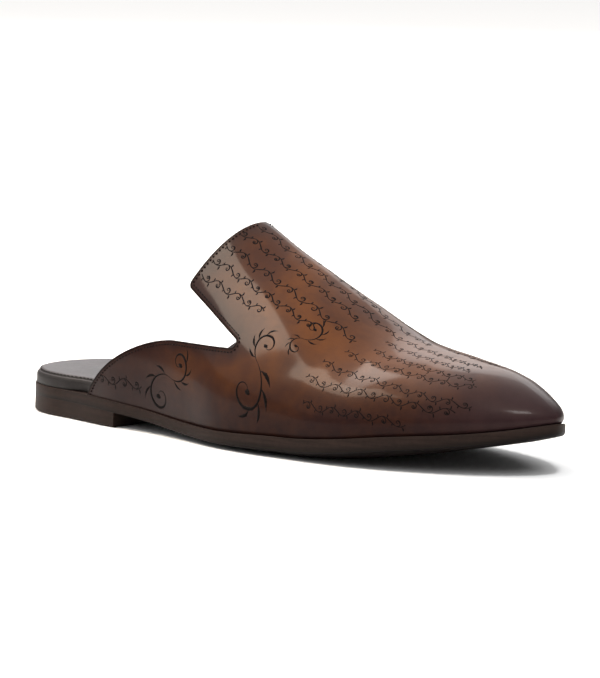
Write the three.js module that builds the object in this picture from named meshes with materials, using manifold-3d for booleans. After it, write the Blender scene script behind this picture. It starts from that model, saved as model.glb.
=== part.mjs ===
// Babouche slipper for the right foot: a backless leather mule with low side wings and a
// high flap over the instep, on a thin leather sole with a low heel block.
// Millimetres, +Z up, toe towards +X, inner side of the foot towards +Y, standing on Z = 0.
import * as THREE from "three";
import { mergeVertices } from "three/addons/utils/BufferGeometryUtils.js";
import Module from "manifold-3d";

const wasm = await Module();
wasm.setup();

// Sole and heel
const shoeLength = 290;
const ballWidth = 96;
const waistWidth = 70;
const heelWidth = 64.5;
const toeDrift = 8.5; // how far the toe turns in from the heel's centre line
const driftStart = 0.35; // share of the length at which that turn begins
const soleThickness = 4.8;
const heelBlockHeight = 7.2;
const heelLength = 75;
const heelFlare = 0.2; // the block's foot stands this far outside its top
const breastHollow = 3; // depth of the curve in the block's front face
const toeSpring = 15.4;
const springPower = 1.5; // how late the toe's rise comes
const shankStart = 50; // the sole comes down from the heel's height from here
const treadStart = 168; // to the forefoot's flat spot, which starts here
const treadEnd = 188; // and ends here
const sideLift = 3.3; // the sole's underside rolls up by this at the ball's edges
const sideDish = 4.4; // and its top side by this
const rollWidth = 17; // width of that rolled border
const rollBegin = 0.36; // it grows from this share of the length
const rollFull = 0.66; // up to this one
const rollEase = 0.78; // and from here
const rollEnd = 0.98; // to here it loses
const rollLoss = 0.75; // this share of its height

// Upper
const wall = 1.8;
const instepTop = 93.3; // height of the last's ridge at the flap
const featherMargin = 2; // sole edge that shows outside the upper, at the forefoot
const wingMargin = 0.7; // and at the wings
const marginRun = 0.3; // share of the length over which the one becomes the other
const wallSwell = 2.4; // how far the wall bulges outside its foot
const toePole = 42; // the toe's dome is centred this far behind the tip
const formLead = 12; // the last's form begins this far behind the wing
const lastDrop = 8; // and reaches this far below the wall's foot, which it opens
const wingRear = 53; // where the wing's rear edge meets the sole
const wingHeight = 41.5; // top line of the wing, above the floor
const wingSteep = { along: 2, rise: 0.36 }; // handle of its curve over the wing's foot
const wingCrown = { along: 23, rise: 0.91 }; // and the one before its level part
const wingLevel = { length: 40, rise: 0.984 }; // the level part runs this far to the slot
const notchReach = 150.5; // front end of the slot between wing and flap
const notchRadius = 2;
const flapBack = 111.4; // the flap's rear corner
const flapCorner = 63.2; // height of that corner
const flapCornerRadius = 2.4;
const flapLean = 12; // its rear edge leans forward by this up to the ridge

// Insole
const insoleThickness = 6;
const insoleRound = 3; // radius of its exposed upper edge
const heelReveal = 0.5; // sole edge that shows outside the insole at the heel
const heelCup = 1.6; // depth of the hollow under the heel
const cupBorder = 18; // distance over which it deepens from the edge
const cupLength = 40; // it is full up to here
const cupFade = 60; // and gone this far on
const tuckLead = 16; // the insole starts to narrow this far behind the wing
const tuckRun = 14; // and is inside the wall after this

const seatGap = 0.3; // clearance between pieces that touch

// Half widths of the sole, outside and inside of the centre line.
const outlineRows = [
  { along: 0.0, outer: 0.49 * heelWidth, inner: 0.49 * heelWidth },
  { along: 0.12, outer: 0.5 * heelWidth, inner: 0.5 * heelWidth },
  { along: 0.24, outer: 0.57 * heelWidth, inner: 0.48 * heelWidth },
  { along: 0.34, outer: 0.535 * waistWidth, inner: 0.42 * waistWidth },
  { along: 0.42, outer: 0.59 * waistWidth, inner: 0.4 * waistWidth },
  { along: 0.5, outer: 0.67 * waistWidth, inner: 0.42 * waistWidth },
  { along: 0.58, outer: 0.515 * ballWidth, inner: 0.35 * ballWidth },
  { along: 0.68, outer: 0.515 * ballWidth, inner: 0.44 * ballWidth },
  { along: 0.78, outer: 0.53 * ballWidth, inner: 0.45 * ballWidth },
  { along: 1.0, outer: 0.52 * ballWidth, inner: 0.43 * ballWidth },
];
const heelCap = { reach: 0.115, power: 2.08 };
const toeCap = { reach: 0.33, power: 1.7 };

// Ridge of the last: its height, its shift towards the inner side, and how full the section is.
const ridgeRows = [
  { along: 0.1, height: 1.0 * instepTop, shift: 0.02 * ballWidth, fullness: 2.3 },
  { along: 0.38, height: 0.985 * instepTop, shift: 0.04 * ballWidth, fullness: 2.0 },
  { along: 0.5, height: 0.822 * instepTop, shift: 0.045 * ballWidth, fullness: 2.0 },
  { along: 0.6, height: 0.67 * instepTop, shift: 0.045 * ballWidth, fullness: 2.1 },
  { along: 0.7, height: 0.515 * instepTop, shift: 0.04 * ballWidth, fullness: 2.15 },
  { along: 0.8, height: 0.456 * instepTop, shift: 0.03 * ballWidth, fullness: 2.25 },
  { along: 0.9, height: 0.42 * instepTop, shift: 0.02 * ballWidth, fullness: 2.3 },
  { along: 1.0, height: 0.36 * instepTop, shift: 0.0, fullness: 2.4 },
];

const clamp01 = (t) => Math.min(1, Math.max(0, t));
const smooth = (t) => clamp01(t) ** 2 * (3 - 2 * clamp01(t));
const mix = (a, b, t) => a + (b - a) * t;

// Smooth curve through a table's column, at a share of the shoe's length.
function column(rows, name, along) {
  const last = rows.length - 1;
  const s = Math.min(rows[last].along, Math.max(rows[0].along, along));
  let k = 0;
  while (k < last - 1 && s > rows[k + 1].along) k += 1;
  const slope = (i) => {
    const a = rows[Math.max(0, i - 1)];
    const b = rows[Math.min(last, i + 1)];
    return (b[name] - a[name]) / (b.along - a.along);
  };
  const span = rows[k + 1].along - rows[k].along;
  const t = (s - rows[k].along) / span;
  const p = rows[k][name];
  const q = rows[k + 1][name];
  return (
    p * (1 + 2 * t) * (1 - t) ** 2 +
    slope(k) * span * t * (1 - t) ** 2 +
    q * t * t * (3 - 2 * t) +
    slope(k + 1) * span * t * t * (t - 1)
  );
}

const roundEnd = (t, power) => (1 - clamp01(t) ** power) ** (1 / power);

// Centre line and edges of the sole seen from above. Side is -1 outside, +1 inside.
const centreLine = (x) => toeDrift * smooth((x / shoeLength - driftStart) / (1 - driftStart));
function soleEdge(x, side) {
  const along = x / shoeLength;
  const half = column(outlineRows, side < 0 ? "outer" : "inner", along);
  const heel = roundEnd(1 - along / heelCap.reach, heelCap.power);
  const toe = roundEnd(1 - (1 - along) / toeCap.reach, toeCap.power);
  return centreLine(x) + side * half * heel * toe;
}

// Stations from heel to toe, close together at both rounded ends.
const stationCount = 52;
const stations = [];
for (let i = 0; i <= stationCount; i += 1) {
  stations.push((shoeLength / 2) * (1 - Math.cos((Math.PI * i) / stationCount)));
}

// A point of the outline at a station, moved inwards by an inset.
function outlinePoint(i, side, inset) {
  const x = stations[i];
  if (i === 0) return new THREE.Vector2(x + inset, centreLine(x));
  if (i === stationCount) return new THREE.Vector2(x - inset, centreLine(x));
  const step = 0.05 * Math.min(x, shoeLength - x, 10);
  const along = new THREE.Vector2(2 * step, soleEdge(x + step, side) - soleEdge(x - step, side));
  const inwards = new THREE.Vector2(side * along.y, -side * along.x).normalize();
  return new THREE.Vector2(x, soleEdge(x, side)).addScaledVector(inwards, inset);
}

// Underside of the outsole along its middle: heel seat, shank, tread and toe spring.
function soleBottom(x) {
  const shank = heelBlockHeight * (1 - smooth((x - shankStart) / (treadStart - shankStart)));
  return shank + toeSpring * clamp01((x - treadEnd) / (shoeLength - treadEnd)) ** springPower;
}
// How much of the forefoot's rolled border there is at x, and how it fades away from the edge.
function rollShare(x) {
  const along = x / shoeLength;
  const growth = smooth((along - rollBegin) / (rollFull - rollBegin));
  return growth * (1 - rollLoss * smooth((along - rollEase) / (rollEnd - rollEase)));
}
const roll = (x, inset) => rollShare(x) * (1 - clamp01(inset / rollWidth)) ** 2;
const soleUnder = (x, inset) => soleBottom(x) + sideLift * roll(x, inset);
const soleTop = (x, inset) => soleBottom(x) + soleThickness + sideDish * roll(x, inset);

// Solid of a closed triangle soup.
function solidOf(positions) {
  const geometry = new THREE.BufferGeometry();
  geometry.setAttribute("position", new THREE.Float32BufferAttribute(positions, 3));
  const merged = mergeVertices(geometry, 1e-3);
  const index = merged.index.array;
  const kept = [];
  for (let k = 0; k < index.length; k += 3) {
    const [a, b, c] = [index[k], index[k + 1], index[k + 2]];
    if (a !== b && b !== c && a !== c) kept.push(a, b, c);
  }
  return new wasm.Manifold(
    new wasm.Mesh({
      numProp: 3,
      vertProperties: merged.attributes.position.array,
      triVerts: new Uint32Array(kept),
    }),
  );
}
function geometryOf(solid) {
  const mesh = solid.getMesh();
  const geometry = new THREE.BufferGeometry();
  geometry.setAttribute("position", new THREE.BufferAttribute(mesh.vertProperties, 3));
  geometry.setIndex(new THREE.BufferAttribute(mesh.triVerts, 1));
  geometry.computeVertexNormals();
  return geometry;
}
const triangle = (out, a, b, c) => out.push(...a, ...b, ...c);
function quad(out, a, b, c, d) {
  triangle(out, a, b, c);
  triangle(out, a, c, d);
}

// A plate that follows the sole's plan: rows from heel to toe, columns from outside to inside.
// inset(x) narrows the plan, steps are the border's insets, and top and under give the heights.
// Near both tips the border takes at most its share of the width from each side.
const borderShare = 0.4;
function plate({ inset, steps, top, under, flare = 0, middle = 4 }) {
  const rows = [];
  for (let i = 0; i <= stationCount; i += 1) {
    const edges = [-1, 1].map((side) => outlinePoint(i, side, inset(stations[i])));
    const narrowing = Math.min(1, (borderShare * edges[0].distanceTo(edges[1])) / rollWidth);
    const place = (side, fullStep) => {
      const step = fullStep * narrowing;
      const p = outlinePoint(i, side, inset(stations[i]) + step);
      return { x: p.x, y: p.y, step };
    };
    const outside = steps.map((step) => place(-1, step));
    const inside = steps.map((step) => place(1, step)).reverse();
    const [a, b] = [outside[steps.length - 1], inside[0]];
    const between = [];
    for (let j = 1; j < middle; j += 1) {
      const y = mix(a.y, b.y, j / middle);
      const step = a.step + Math.min(y - a.y, b.y - y);
      between.push({ x: mix(a.x, b.x, j / middle), y, step });
    }
    rows.push([...outside, ...between, ...inside]);
  }
  const up = (p) => [p.x, p.y, top(p.x, p.step)];
  const down = (p, i, side) => {
    if (p.step > 0 || !flare) return [p.x, p.y, under(p.x, p.step)];
    const q = outlinePoint(i, side, inset(stations[i]) - flare);
    return [q.x, q.y, under(q.x, 0)];
  };
  const out = [];
  const lastColumn = rows[0].length - 1;
  for (let i = 0; i < stationCount; i += 1) {
    const [r, s] = [rows[i], rows[i + 1]];
    for (let j = 0; j < lastColumn; j += 1) {
      const side = j < lastColumn / 2 ? -1 : 1;
      const under = [r[j], r[j + 1]].map((p) => down(p, i, side));
      const ahead = [s[j + 1], s[j]].map((p) => down(p, i + 1, side));
      quad(out, up(r[j]), up(s[j]), up(s[j + 1]), up(r[j + 1]));
      quad(out, ...under, ...ahead);
    }
    const [m, n] = [r[lastColumn], s[lastColumn]];
    quad(out, up(r[0]), down(r[0], i, -1), down(s[0], i + 1, -1), up(s[0]));
    quad(out, up(m), up(n), down(n, i + 1, 1), down(m, i, 1));
  }
  return solidOf(out);
}

function outsole() {
  const steps = [0, 0.18, 0.36, 0.56, 0.77, 1].map((share) => share * rollWidth);
  return plate({ inset: () => 0, steps, top: soleTop, under: soleUnder });
}

// Prism along Y through the whole shoe, from an outline in the side view.
function sidePrism(shape) {
  const settings = { depth: 2 * ballWidth, bevelEnabled: false, curveSegments: 10 };
  const geometry = new THREE.ExtrudeGeometry(shape, settings);
  geometry.translate(0, 0, -ballWidth);
  geometry.rotateX(Math.PI / 2);
  return solidOf(geometry.attributes.position.array);
}

// The heel block, flared towards the floor, with a hollow breast.
function heelBlock() {
  const blank = plate({
    inset: () => 0,
    steps: [0, rollWidth],
    top: (x) => soleBottom(x) - seatGap,
    under: () => 0,
    flare: heelFlare,
    middle: 2,
  });
  const breast = new THREE.Shape();
  const reach = heelWidth;
  breast.moveTo(heelLength, -reach);
  breast.quadraticCurveTo(heelLength - 2 * breastHollow, 0, heelLength, reach);
  breast.lineTo(2 * shoeLength, reach);
  breast.lineTo(2 * shoeLength, -reach);
  breast.closePath();
  const settings = { depth: 4 * heelBlockHeight, bevelEnabled: false, curveSegments: 16 };
  const cut = new THREE.ExtrudeGeometry(breast, settings);
  cut.translate(0, 0, -heelBlockHeight);
  return blank.subtract(solidOf(cut.attributes.position.array));
}

// The upper's foot stands on the sole, this far in from its edge.
const upperInset = (x) =>
  mix(wingMargin, featherMargin, smooth((x - heelLength) / (marginRun * shoeLength)));

// Insole, flush with the sole at the bare heel and inside the upper's wall in front of it.
const insoleInset = (x) =>
  mix(heelReveal, upperInset(x) + wall + seatGap, smooth((x - wingRear + tuckLead) / tuckRun));
function insole() {
  const rounding = (step) => {
    const run = 1 - clamp01(step / insoleRound);
    return insoleRound * (1 - Math.sqrt(1 - run ** 2));
  };
  const cup = (x, step) => {
    const depth = heelCup * smooth((step - insoleRound) / cupBorder);
    return depth * (1 - smooth((x - cupLength) / cupFade));
  };
  const under = (x, step) => soleTop(x, step + insoleInset(x)) + seatGap;
  const top = (x, step) => under(x, step) + insoleThickness - rounding(step) - cup(x, step);
  const rim = [0, 0.1, 0.4, 1].map((share) => share * insoleRound);
  return plate({ inset: insoleInset, steps: [...rim, rollWidth / 2, rollWidth], top, under });
}

// The last's form over the sole, as ribs from the outer foot over the ridge to the inner foot.
// skin moves the whole form inwards, and below carries its feet down.
const ribSteps = 14;
const backStation = stations.findIndex((x) => x > wingRear - formLead);
const swellPeak = 4 / 27; // greatest value of rise times the square of what is left of it
function lastForm(skin, below) {
  const blendFrom = shoeLength - 2 * toePole;
  const spineAt = (x) => {
    const t = clamp01((x - blendFrom) / (shoeLength - blendFrom));
    return x < blendFrom ? x : blendFrom + toePole * (1 - (1 - t) ** 2);
  };
  const rings = [];
  for (let i = backStation; i <= stationCount; i += 1) {
    const sx = spineAt(stations[i]);
    const fullness = column(ridgeRows, "fullness", sx / shoeLength);
    const spine = new THREE.Vector2(sx, centreLine(sx) + column(ridgeRows, "shift", sx / shoeLength));
    const ring = [];
    for (const side of [-1, 1]) {
      const inset = upperInset(stations[i]);
      const foot = outlinePoint(i, side, inset + skin);
      const base = soleTop(foot.x, inset) + seatGap;
      const out = foot.clone().sub(spine);
      const half = [];
      if (below) half.push([foot.x, foot.y, base - below]);
      for (let k = 0; k <= ribSteps; k += 1) {
        const angle = ((Math.PI / 2) * k) / ribSteps;
        const reach = Math.cos(angle) ** (2 / fullness);
        const rise = Math.sin(angle) ** (2 / fullness);
        const swell = (wallSwell * rise * (1 - rise) ** 2) / swellPeak / out.length();
        const p = spine.clone().addScaledVector(out, reach + swell);
        const ridge = column(ridgeRows, "height", p.x / shoeLength) - skin;
        half.push([p.x, p.y, mix(base, ridge, rise)]);
      }
      if (side > 0) half.reverse().shift();
      ring.push(...half);
    }
    rings.push(ring);
  }
  const out = [];
  const count = rings[0].length;
  for (let i = 0; i < rings.length - 1; i += 1) {
    for (let k = 0; k < count; k += 1) {
      const n = (k + 1) % count;
      quad(out, rings[i][k], rings[i + 1][k], rings[i + 1][n], rings[i][n]);
    }
  }
  const first = rings[0];
  for (let k = 1; k < count - 1; k += 1) triangle(out, first[0], first[k], first[k + 1]);
  return solidOf(out);
}

// Everything the collar leaves open, seen from the side.
function collarOpening() {
  const far = 2 * shoeLength;
  const floor = heelBlockHeight;
  const shape = new THREE.Shape();
  shape.moveTo(wingRear, floor);
  shape.bezierCurveTo(
    wingRear + wingSteep.along,
    wingSteep.rise * wingHeight,
    wingRear + wingCrown.along,
    wingCrown.rise * wingHeight,
    notchReach - wingLevel.length,
    wingLevel.rise * wingHeight,
  );
  shape.lineTo(notchReach - 1.5 * notchRadius, wingHeight);
  const slope = Math.atan2(flapCorner - wingHeight - 2 * notchRadius, flapBack - notchReach);
  const turn = slope - Math.PI / 2;
  const centre = { x: notchReach - notchRadius, z: wingHeight + notchRadius };
  shape.absarc(centre.x, centre.z, notchRadius, -Math.PI / 2, turn, false);
  const back = { x: Math.cos(slope), z: Math.sin(slope) };
  shape.lineTo(flapBack - back.x * flapCornerRadius, flapCorner - back.z * flapCornerRadius);
  const lean = (flapLean / (instepTop - flapCorner)) * flapCornerRadius;
  shape.quadraticCurveTo(flapBack, flapCorner, flapBack + lean, flapCorner + flapCornerRadius);
  shape.lineTo(flapBack + flapLean, instepTop);
  shape.lineTo(flapBack + flapLean, far);
  shape.lineTo(-far, far);
  shape.lineTo(-far, floor);
  shape.closePath();
  return sidePrism(shape);
}

function upper() {
  return lastForm(0, 0).subtract(lastForm(wall, lastDrop)).subtract(collarOpening());
}

const leather = { color: 0x5a3522, roughness: 0.38, metalness: 0 };
const lining = { color: 0x4a4043, roughness: 0.55, metalness: 0 };
const soleLeather = { color: 0x352b25, roughness: 0.6, metalness: 0 };
const pieces = {
  outsole: [outsole(), soleLeather],
  heel: [heelBlock(), soleLeather],
  insole: [insole(), lining],
  upper: [upper(), leather],
};

const slipper = new THREE.Group();
for (const [name, [solid, look]] of Object.entries(pieces)) {
  const mesh = new THREE.Mesh(geometryOf(solid), new THREE.MeshStandardMaterial(look));
  mesh.name = name;
  slipper.add(mesh);
}
// The frame's origin is on the floor under the middle of the shoe.
const middle = new THREE.Box3().setFromObject(slipper).getCenter(new THREE.Vector3());
slipper.position.set(-middle.x, -middle.y, 0);

export default slipper;
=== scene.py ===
import bmesh
import bpy
import numpy as np
from mathutils import Matrix, Vector
from mathutils.bvhtree import BVHTree


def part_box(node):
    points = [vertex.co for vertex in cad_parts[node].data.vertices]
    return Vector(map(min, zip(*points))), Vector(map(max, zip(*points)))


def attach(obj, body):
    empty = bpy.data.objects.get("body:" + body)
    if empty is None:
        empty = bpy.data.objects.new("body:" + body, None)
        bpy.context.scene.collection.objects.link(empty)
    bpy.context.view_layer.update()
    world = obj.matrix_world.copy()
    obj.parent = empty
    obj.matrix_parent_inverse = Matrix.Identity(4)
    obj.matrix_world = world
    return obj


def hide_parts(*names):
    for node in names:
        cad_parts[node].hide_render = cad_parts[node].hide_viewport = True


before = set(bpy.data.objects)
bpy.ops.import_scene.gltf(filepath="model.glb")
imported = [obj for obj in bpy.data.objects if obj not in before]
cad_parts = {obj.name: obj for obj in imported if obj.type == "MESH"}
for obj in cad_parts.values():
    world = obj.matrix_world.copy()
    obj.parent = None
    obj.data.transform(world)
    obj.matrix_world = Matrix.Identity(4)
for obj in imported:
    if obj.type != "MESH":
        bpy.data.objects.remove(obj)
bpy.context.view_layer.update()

bl_info = {
    "name": "Babouche Slipper",
    "version": (1, 0, 0),
    "blender": (4, 5, 0),
    "location": "View3D > Sidebar > Slipper",
    "description": "Builds the upper, engraving, insole, sole, heel and stage of a leather slipper",
    "category": "Object",
}

MM = 0.001
SIDES = OUTSIDE, INSIDE = -1, 1


def length(name, description, millimetres):
    """A size property, given in millimetres and kept in metres."""
    return bpy.props.FloatProperty(
        name=name, description=description, default=millimetres * MM, unit="LENGTH", precision=5
    )


def tint(name, description, colour):
    """A colour property in linear light."""
    return bpy.props.FloatVectorProperty(
        name=name, description=description, default=colour, subtype="COLOR", size=3, min=0, max=1
    )


class SlipperSizes(bpy.types.PropertyGroup):
    """Sizes of the last, the sole, the collar and the insole."""

    shoe_length: length("Shoe length", "Sole from heel to toe", 290)
    ball_width: length("Ball width", "Scale of the forefoot's width", 96)
    waist_width: length("Waist width", "Scale of the waist's width", 70)
    heel_width: length("Heel width", "Scale of the heel's width", 64.5)
    toe_drift: length("Toe drift", "How far the toe turns in", 8.5)
    sole_thickness: length("Sole thickness", "Thickness of the outsole", 4.8)
    heel_height: length("Heel height", "Height of the heel block", 7.2)
    heel_length: length("Heel length", "Heel block from back to breast", 75)
    heel_flare: length("Heel flare", "How far the block's foot stands out", 0.2)
    breast_hollow: length("Breast hollow", "Depth of the block's hollow front", 3)
    toe_spring: length("Toe spring", "Height of the sole's tip", 15.4)
    shank_start: length("Shank start", "Where the sole starts to come down", 50)
    tread_start: length("Tread start", "Where the forefoot's flat spot starts", 168)
    tread_end: length("Tread end", "Where the forefoot's flat spot ends", 188)
    side_lift: length("Side lift", "Rise of the underside at the ball's edges", 3.3)
    side_dish: length("Side dish", "Rise of the sole's top at the ball's edges", 4.4)
    roll_width: length("Roll width", "Width of the rolled border", 17)
    wall: length("Wall", "Thickness of the upper with its lining", 1.8)
    instep_top: length("Instep top", "Height of the ridge at the flap", 93.3)
    feather_margin: length("Feather margin", "Sole edge outside the upper at the forefoot", 2)
    wing_margin: length("Wing margin", "Sole edge outside the upper at the wings", 0.7)
    wall_swell: length("Wall swell", "Bulge of the wall over its foot", 2.4)
    toe_pole: length("Toe pole", "Centre of the toe's dome, behind the tip", 42)
    wing_rear: length("Wing rear", "Where the wing meets the sole", 53)
    wing_height: length("Wing height", "Top line of the wing", 41.5)
    notch_reach: length("Notch reach", "Front end of the slot under the flap", 150.5)
    notch_radius: length("Notch radius", "Radius of the slot's end", 2)
    flap_back: length("Flap back", "Rear corner of the flap", 111.4)
    flap_corner: length("Flap corner", "Height of the flap's rear corner", 63.2)
    corner_radius: length("Corner radius", "Rounding of the flap's rear corner", 2.4)
    flap_lean: length("Flap lean", "How far the flap's rear edge leans forward", 12)
    insole_thickness: length("Insole thickness", "Padded footbed", 6)
    insole_round: length("Insole rounding", "Radius of the footbed's upper edge", 3)
    heel_reveal: length("Heel reveal", "Sole edge outside the footbed", 0.5)
    heel_cup: length("Heel cup", "Hollow under the heel", 1.6)
    stitch_pitch: length("Stitch pitch", "Distance from stitch to stitch", 1.9)


class SlipperColours(bpy.types.PropertyGroup):
    """Base colours of the leathers, thread and floor."""

    warm: tint("Warm brown", "Open areas of the vamp", (0.100, 0.0310, 0.0062))
    brown: tint("Brown", "General colour of the vamp", (0.050, 0.0150, 0.0055))
    # Burnish of the edges and wings; towards the foot this colour also stands for painted shade of the
    # lower side.
    burnish: tint("Burnish", "Edges, wings and foot of the upper", (0.0150, 0.0064, 0.0064))
    toe: tint("Toe", "Burnished toe", (0.030, 0.0165, 0.0180))
    ink: tint("Ink", "Engraved lines", (0.0035, 0.0024, 0.0022))
    lining: tint("Lining", "Lining and footbed leather", (0.066, 0.056, 0.059))
    # Colour used where the footbed's surface turns from its top down to its sides.
    insole_rim: tint("Insole rim", "Burnished rim of the footbed", (0.0075, 0.0050, 0.0045))
    sole: tint("Sole", "Stained sole and heel edge", (0.027, 0.0160, 0.0126))
    thread: tint("Thread", "Collar and footbed stitches", (0.0035, 0.0024, 0.0021))
    floor: tint("Floor", "Studio floor", (0.92, 0.92, 0.92))


def column(rows, k, along):
    """Smooth curve through column k of a table that starts with shares of the shoe's length."""
    table = np.array(rows)
    at, value = table[:, 0], table[:, k]
    s = np.clip(along, at[0], at[-1])
    i = np.clip(np.searchsorted(at, s) - 1, 0, len(at) - 2)
    before = np.maximum(np.arange(len(at)) - 1, 0)
    after = np.minimum(np.arange(len(at)) + 1, len(at) - 1)
    slope = (value[after] - value[before]) / (at[after] - at[before])
    span = at[i + 1] - at[i]
    t = (s - at[i]) / span
    return (
        value[i] * (1 + 2 * t) * (1 - t) ** 2
        + slope[i] * span * t * (1 - t) ** 2
        + value[i + 1] * t * t * (3 - 2 * t)
        + slope[i + 1] * span * t * t * (t - 1)
    )


def smooth(t):
    """Eased step from 0 to 1."""
    t = np.clip(t, 0, 1)
    return t * t * (3 - 2 * t)


def bell(offset, width):
    """A soft hump of height one."""
    return np.exp(-((offset / width) ** 2))


def rounding(radius, step):
    """How far a rounded edge lies under its flat, a step in from the rim."""
    return radius * (1 - np.sqrt(1 - (1 - np.clip(step / radius, 0, 1)) ** 2))


def round_end(t, power):
    """Superellipse end of a plan outline."""
    return (1 - np.clip(t, 0, 1) ** power) ** (1 / power)


def quarter(count):
    """Angles from zero to a quarter turn."""
    return np.linspace(0, np.pi / 2, count)


def eased(count):
    """Shares from 0 to 1 that lie closer together at both ends."""
    return (1 - np.cos(np.linspace(0, np.pi, count))) / 2


def unit(vectors):
    """Vectors brought to length one."""
    return vectors / (np.linalg.norm(vectors, axis=-1, keepdims=True) + 1e-12)


def length_along(line):
    """Distance run at each point of a line."""
    return np.concatenate([[0], np.cumsum(np.linalg.norm(np.diff(line, axis=0), axis=1))])


class Last:
    """The slipper's form, in the frame's place: sole plan, heights, ribs and collar."""

    OUTER, INNER = 1, 2
    HEIGHT, SHIFT, FULLNESS = 1, 2, 3
    HEEL_REACH, HEEL_POWER = 0.115, 2.08
    TOE_REACH, TOE_POWER = 0.33, 1.7
    DRIFT_START = 0.35
    ROLL_START, ROLL_RISE, ROLL_FADE_START, ROLL_FADE, ROLL_LOST = 0.36, 0.3, 0.78, 0.2, 0.75
    SPRING_CURVE = 1.5
    CURVE_POINTS, FLAT_POINTS, ARC_POINTS = 60, 29, 16
    LOW_POINTS, ROUND_POINTS, REAR_POINTS = 30, 8, 40
    WING_POINTS = CURVE_POINTS + FLAT_POINTS

    def __init__(self, sizes):
        for name in SlipperSizes.__annotations__:
            setattr(self, name, getattr(sizes, name))
        ball, waist, heel, top = self.ball_width, self.waist_width, self.heel_width, self.instep_top
        # Share of the length, half width outside, half width inside.
        self.outline_rows = (
            (0.0, 0.49 * heel, 0.49 * heel),
            (0.12, 0.5 * heel, 0.5 * heel),
            (0.24, 0.57 * heel, 0.48 * heel),
            (0.34, 0.535 * waist, 0.42 * waist),
            (0.42, 0.59 * waist, 0.4 * waist),
            (0.5, 0.67 * waist, 0.42 * waist),
            (0.58, 0.515 * ball, 0.35 * ball),
            (0.68, 0.515 * ball, 0.44 * ball),
            (0.78, 0.53 * ball, 0.45 * ball),
            (1.0, 0.52 * ball, 0.43 * ball),
        )
        # Share of the length, height of the ridge, its shift across, fullness of the rib.
        self.ridge_rows = (
            (0.1, 1.0 * top, 0.02 * ball, 2.3),
            (0.38, 0.985 * top, 0.04 * ball, 2.0),
            (0.5, 0.822 * top, 0.045 * ball, 2.0),
            (0.6, 0.67 * top, 0.045 * ball, 2.1),
            (0.7, 0.515 * top, 0.04 * ball, 2.15),
            (0.8, 0.456 * top, 0.03 * ball, 2.25),
            (0.9, 0.42 * top, 0.02 * ball, 2.3),
            (1.0, 0.36 * top, 0.0, 2.4),
        )
        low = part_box("outsole")[0]
        x = np.linspace(0, self.shoe_length, 600)
        self.shift = np.array([low.x, low.y - self.edge(x, OUTSIDE).min(), 0.0])

    def centre(self, x):
        along = x / self.shoe_length
        return self.toe_drift * smooth((along - self.DRIFT_START) / (1 - self.DRIFT_START))

    def edge(self, x, side):
        """The sole's edge, across the shoe, at x."""
        along = x / self.shoe_length
        half = column(self.outline_rows, self.OUTER if side == OUTSIDE else self.INNER, along)
        heel = round_end(1 - along / self.HEEL_REACH, self.HEEL_POWER)
        toe = round_end(1 - (1 - along) / self.TOE_REACH, self.TOE_POWER)
        return self.centre(x) + side * half * heel * toe

    def outline(self, x, side, inset):
        """Points of the sole's plan at stations x, moved inwards by an inset."""
        x, inset = np.broadcast_arrays(np.asarray(x, float), np.asarray(inset, float))
        step = 0.05 * np.minimum(np.minimum(x, self.shoe_length - x), 10 * MM)
        inner = step > 1e-9
        step = np.where(inner, step, 1e-6)
        rise = self.edge(x + step, side) - self.edge(x - step, side)
        size = np.hypot(2 * step, rise)
        px = x + side * rise / size * inset
        py = self.edge(x, side) - side * 2 * step / size * inset
        tip = np.where(x < self.shoe_length / 2, x + inset, x - inset)
        return np.where(inner, px, tip), np.where(inner, py, self.centre(x))

    def bottom(self, x):
        shank = 1 - smooth((x - self.shank_start) / (self.tread_start - self.shank_start))
        spring = np.clip((x - self.tread_end) / (self.shoe_length - self.tread_end), 0, 1)
        return self.heel_height * shank + self.toe_spring * spring**self.SPRING_CURVE

    def roll(self, x, inset):
        """Share of the forefoot's rolled border at x and inset."""
        along = x / self.shoe_length
        share = smooth((along - self.ROLL_START) / self.ROLL_RISE)
        fade = self.ROLL_LOST * smooth((along - self.ROLL_FADE_START) / self.ROLL_FADE)
        return share * (1 - fade) * (1 - np.clip(inset / self.roll_width, 0, 1)) ** 2

    def under(self, x, inset):
        return self.bottom(x) + self.side_lift * self.roll(x, inset)

    def top(self, x, inset):
        return self.bottom(x) + self.sole_thickness + self.side_dish * self.roll(x, inset)

    def upper_inset(self, x):
        grow = smooth((x - self.heel_length) / (0.3 * self.shoe_length))
        return self.wing_margin + (self.feather_margin - self.wing_margin) * grow

    def ridge(self, x):
        return column(self.ridge_rows, self.HEIGHT, x / self.shoe_length)

    def spine(self, x):
        """Where the rib of station x reaches the ridge."""
        start = self.shoe_length - 2 * self.toe_pole
        t = np.clip((x - start) / (self.shoe_length - start), 0, 1)
        return np.where(x < start, x, start + self.toe_pole * (1 - (1 - t) ** 2))

    def rib(self, x, side, angle):
        """Points of the skin. The angle runs from 0 at the sole to a quarter turn at the ridge."""
        x, angle = np.broadcast_arrays(np.asarray(x, float), np.asarray(angle, float))
        sx = self.spine(x)
        along = sx / self.shoe_length
        full = column(self.ridge_rows, self.FULLNESS, along)
        sy = self.centre(sx) + column(self.ridge_rows, self.SHIFT, along)
        inset = self.upper_inset(x)
        fx, fy = self.outline(x, side, inset)
        base = self.top(fx, inset)
        reach = np.clip(np.cos(angle), 0, 1) ** (2 / full)
        rise = np.clip(np.sin(angle), 0, 1) ** (2 / full)
        width = np.maximum(np.hypot(fx - sx, fy - sy), MM)
        # The factor brings rise * (1 - rise) ** 2 to one where it is greatest.
        reach = reach + self.wall_swell * 6.75 * rise * (1 - rise) ** 2 / width
        px = sx + (fx - sx) * reach
        py = sy + (fy - sy) * reach
        pz = base + (self.ridge(px) - base) * rise
        return np.stack([px, py, pz], -1) + self.shift

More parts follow.
